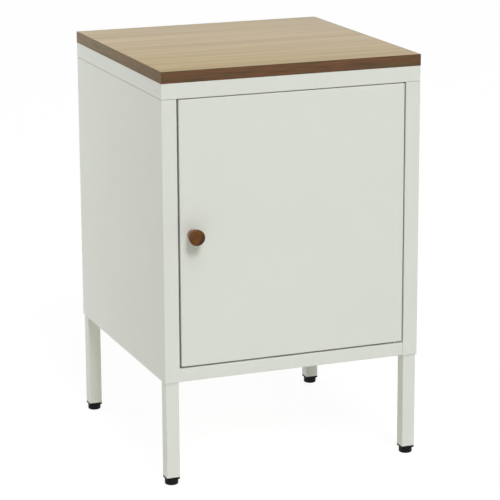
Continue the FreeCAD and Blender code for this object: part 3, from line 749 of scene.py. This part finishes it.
screwShapes = {
    "sheetScrew": {
        "head": 3.25,
        "height": 2.0,
        "shank": 1.5,
        "recess": 1.7,
        "depth": 1.1,
        "reach": crossReach,
    },
    "knobScrew": {
        "head": 4.0,
        "height": 2.4,
        "shank": 2.0,
        "recess": 2.1,
        "depth": 1.4,
        "reach": crossReach,
    },
    "legBolt": {
        "head": 5.5,
        "height": 3.5,
        "shank": 3.0,
        "recess": 2.3,
        "depth": 2.2,
        "reach": hexReach,
    },
}
screwFinish = {
    "easing": 0.3,
    "domeShares": ((1, 0.42), (0.93, 0.68), (0.78, 0.88), (0.60, 0.98)),  # of head and height
    "mouthShare": 0.98,
    "floorShare": 0.82,
    "steps": 36,
}


def addScrew(bm, seat, axis, length, shape):
    head, tall, shank = shape["head"], shape["height"], shape["shank"]
    eased = screwFinish["easing"]
    outline = [
        (0, length),
        (shank - eased, length),
        (shank, length - eased),
        (shank, 0),
        (head - eased, 0),
        (head, -eased),
    ]
    outline += [(wide * head, -high * tall) for wide, high in screwFinish["domeShares"]]
    outline.append((shape["recess"], -tall))
    part = bmesh.new()
    spinOutline(part, outline, seat, axis, screwFinish["steps"], closed=False)
    rim = ringEdges(part, seat, axis, shape["recess"], -tall)
    across = axis.orthogonal().normalized()
    beside = axis.cross(across)

    def shapeRing(edges, share, drop):
        ring = {v for e in edges for v in e.verts}
        for vert in ring:
            arm = vert.co - seat
            turn = math.atan2(arm.dot(beside), arm.dot(across))
            reach = shape["recess"] * shape["reach"](turn) * share
            spoke = across * math.cos(turn) + beside * math.sin(turn)
            vert.co = seat + (spoke * reach + axis * (drop - tall)) * millimetre

    def extruded(edges):
        made = bmesh.ops.extrude_edge_only(part, edges=edges)["geom"]
        return [item for item in made if isinstance(item, bmesh.types.BMEdge) and isRim(item)]

    def isRim(edge):
        return len(edge.link_faces) == 1

    mouth = extruded(rim)
    shapeRing(mouth, screwFinish["mouthShare"], 0)
    floor = extruded(mouth)
    shapeRing(floor, screwFinish["floorShare"], shape["depth"])
    bmesh.ops.edgeloop_fill(part, edges=floor)
    bmesh.ops.recalc_face_normals(part, faces=part.faces)
    scratch = bpy.data.meshes.new("screwScratch")
    part.to_mesh(scratch)
    part.free()
    bm.from_mesh(scratch)
    bpy.data.meshes.remove(scratch)


def spread(low, high, margin, count):
    first, last = low + margin, high - margin
    if count == 1:
        return [(first + last) / 2]
    return [first + (last - first) * spot / (count - 1) for spot in range(count)]


def buildScrews(node, name, body, axis, counts, shape):
    low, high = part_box(node)
    axis = Vector(axis)
    along = max(range(3), key=lambda spot: abs(axis[spot]))
    tall = shape["height"] * millimetre
    seat = low[along] + tall if axis[along] > 0 else high[along] - tall
    length = (high[along] - low[along]) / millimetre - shape["height"]
    margin = shape["head"] * millimetre
    places = [spread(low[spot], high[spot], margin, counts[spot]) for spot in range(3)]
    places[along] = [seat]
    bm = bmesh.new()
    for place in itertools.product(*places):
        addScrew(bm, Vector(place), axis, length, shape)
    finishPiece(bm, name, body, node)


up, down, back, forward = (0, 0, 1), (0, 0, -1), (0, 1, 0), (0, -1, 0)
for node, name, body, axis, counts, kind in (
    ("top_board_screws", "boardScrews", "case", up, (2, 2, 1), "sheetScrew"),
    ("top_pan_screws", "panScrews", "case", up, (2, 3, 1), "sheetScrew"),
    ("floor_screws", "floorScrews", "case", up, (2, 3, 1), "sheetScrew"),
    ("back_panel_screws", "backScrews", "case", back, (2, 1, 3), "sheetScrew"),
    ("catch_screws", "catchScrews", "case", up, (2, 1, 1), "sheetScrew"),
    ("leg_bolts", "legBolts", "case", down, (2, 2, 1), "legBolt"),
    ("knob_screw", "knobScrew", "door", forward, (1, 1, 1), "knobScrew"),
):
    buildScrews(node, name, body, axis, counts, screwShapes[kind])
print("screws made")


# stage: white floor that keeps a soft shadow and is clear from below, soft surround, lamps, camera

stageLook = {
    "floorReach": 30,
    "floorTone": (0.95, 0.945, 0.83),
    "shadowShare": 0.10,
    "shadowLevel": 0.68,
}
surroundLook = {"low": (0.25, 0.24), "high": (0.43, 0.40)}


def backgroundRay(tree):
    path = addNode(tree, "ShaderNodeLightPath")
    share = path.outputs["Is Camera Ray"]
    for other in ("Is Glossy Ray", "Is Transmission Ray"):
        inputs = {0: share, 1: path.outputs[other]}
        share = addNode(tree, "ShaderNodeMath", inputs, operation="MAXIMUM").outputs[0]
    return share


def makeFloorWhite(name, look):
    material = bpy.data.materials.new(name)
    material.use_nodes = True
    tree = material.node_tree
    tree.nodes.clear()
    plain = addNode(tree, "ShaderNodeBsdfDiffuse", {"Color": (*look["floorTone"], 1)})
    share = look["shadowShare"]
    shaded = addNode(tree, "ShaderNodeBsdfDiffuse", {"Color": (*grey(share), 1)})
    glow = 1 - share * look["shadowLevel"]
    white = addNode(tree, "ShaderNodeEmission", {"Color": (1, 1, 1, 1), "Strength": glow})
    seen = addNode(tree, "ShaderNodeAddShader", {0: shaded.outputs[0], 1: white.outputs[0]})
    mixed = addNode(tree, "ShaderNodeMixShader")
    feed(tree, mixed, {0: backgroundRay(tree), 1: plain.outputs[0], 2: seen.outputs[0]})
    under = addNode(tree, "ShaderNodeNewGeometry").outputs["Backfacing"]
    clear = addNode(tree, "ShaderNodeBsdfTransparent")
    whole = addNode(tree, "ShaderNodeMixShader")
    feed(tree, whole, {0: under, 1: mixed.outputs[0], 2: clear.outputs[0]})
    addNode(tree, "ShaderNodeOutputMaterial", {"Surface": whole.outputs[0]})
    return material


def buildFloor(look):
    bm = bmesh.new()
    bmesh.ops.create_grid(bm, x_segments=1, y_segments=1, size=look["floorReach"])
    mesh = bpy.data.meshes.new("floor")
    bm.to_mesh(mesh)
    bm.free()
    floor = bpy.data.objects.new("floor", mesh)
    bpy.context.scene.collection.objects.link(floor)
    mesh.materials.append(makeFloorWhite("floorWhite", look))


def buildSurround(look):
    world = bpy.data.worlds.new("studio")
    bpy.context.scene.world = world
    world.use_nodes = True
    tree = world.node_tree
    tree.nodes.clear()
    way = addNode(tree, "ShaderNodeTexCoord").outputs["Generated"]
    parts = addNode(tree, "ShaderNodeSeparateXYZ", {"Vector": way})
    low = remap(tree, parts.outputs["X"], (-1, 1), look["low"])
    high = remap(tree, parts.outputs["X"], (-1, 1), look["high"])
    level = remap(tree, parts.outputs["Z"], (0, 1), (low, high))
    soft = addNode(tree, "ShaderNodeBackground", {"Color": (1, 1, 1, 1), "Strength": level})
    white = addNode(tree, "ShaderNodeBackground", {"Color": (1, 1, 1, 1), "Strength": 1})
    mixed = addNode(tree, "ShaderNodeMixShader")
    feed(tree, mixed, {0: backgroundRay(tree), 1: soft.outputs[0], 2: white.outputs[0]})
    addNode(tree, "ShaderNodeOutputWorld", {"Surface": mixed.outputs[0]})


# spreads and the camera's angles are in degrees

lampLook = {
    "key": {
        "place": (-0.50, -12.0, 11.1),
        "aim": (0, -0.19, 0.35),
        "size": 5.0,
        "power": 1180,
        "tone": (1, 1, 1),
        "spread": 180,
    },
    "top": {
        "place": (-0.30, -4.90, 10.1),
        "aim": (0, -0.19, 0.35),
        "size": 4.8,
        "power": 150,
        "tone": (1, 1, 1),
        "spread": 180,
    },
    "side": {
        "place": (-1.15, 0.85, 0.60),
        "aim": (-0.2, 0.1, 0.35),
        "size": 1.0,
        "power": 4.6,
        "tone": (1, 1, 1),
        "spread": 180,
    },
    # warm light from the floor on the legs behind
    "under": {
        "place": (-0.02, -0.15, 0.02),
        "aim": (-0.02, 0.19, 0.03),
        "size": 0.03,
        "power": 0.07,
        "tone": (1, 0.98, 0.82),
        "spread": 80,
    },
}


def buildLamps(lamps):
    for name, look in lamps.items():
        lamp = bpy.data.lights.new(name, "AREA")
        lamp.shape = "DISK"
        lamp.size = look["size"]
        lamp.energy = look["power"]
        lamp.color = look["tone"]
        lamp.spread = math.radians(look["spread"])
        holder = bpy.data.objects.new(name, lamp)
        bpy.context.scene.collection.objects.link(holder)
        holder.visible_camera = False
        holder.location = look["place"]
        way = Vector(look["aim"]) - Vector(look["place"])
        holder.rotation_euler = way.to_track_quat("-Z", "Y").to_euler()


cameraLook = {
    "place": (-1.2091, -3.1367, 1.1532),
    "yaw": 21.156,
    "pitch": 14.357,
    "roll": -0.278,
    "lens": 163.02,
    "sensor": 36,
}


def buildCamera(look):
    data = bpy.data.cameras.new("camera")
    data.lens = look["lens"]
    data.sensor_width = look["sensor"]
    camera = bpy.data.objects.new("camera", data)
    bpy.context.scene.collection.objects.link(camera)
    yaw, pitch, roll = (math.radians(look[key]) for key in ("yaw", "pitch", "roll"))
    flat = math.cos(pitch)
    ahead = Vector((math.sin(yaw) * flat, math.cos(yaw) * flat, -math.sin(pitch)))
    level = Vector((math.cos(yaw), -math.sin(yaw), 0))
    upright = level.cross(ahead)
    right = level * math.cos(roll) + upright * math.sin(roll)
    axes = Matrix((right, right.cross(ahead), -ahead)).transposed()
    camera.matrix_world = Matrix.Translation(look["place"]) @ axes.to_4x4()
    bpy.context.scene.camera = camera


buildFloor(stageLook)
buildSurround(surroundLook)
buildLamps(lampLook)
buildCamera(cameraLook)
bpy.context.scene.view_settings.view_transform = "Standard"
print("stage, light and camera made")
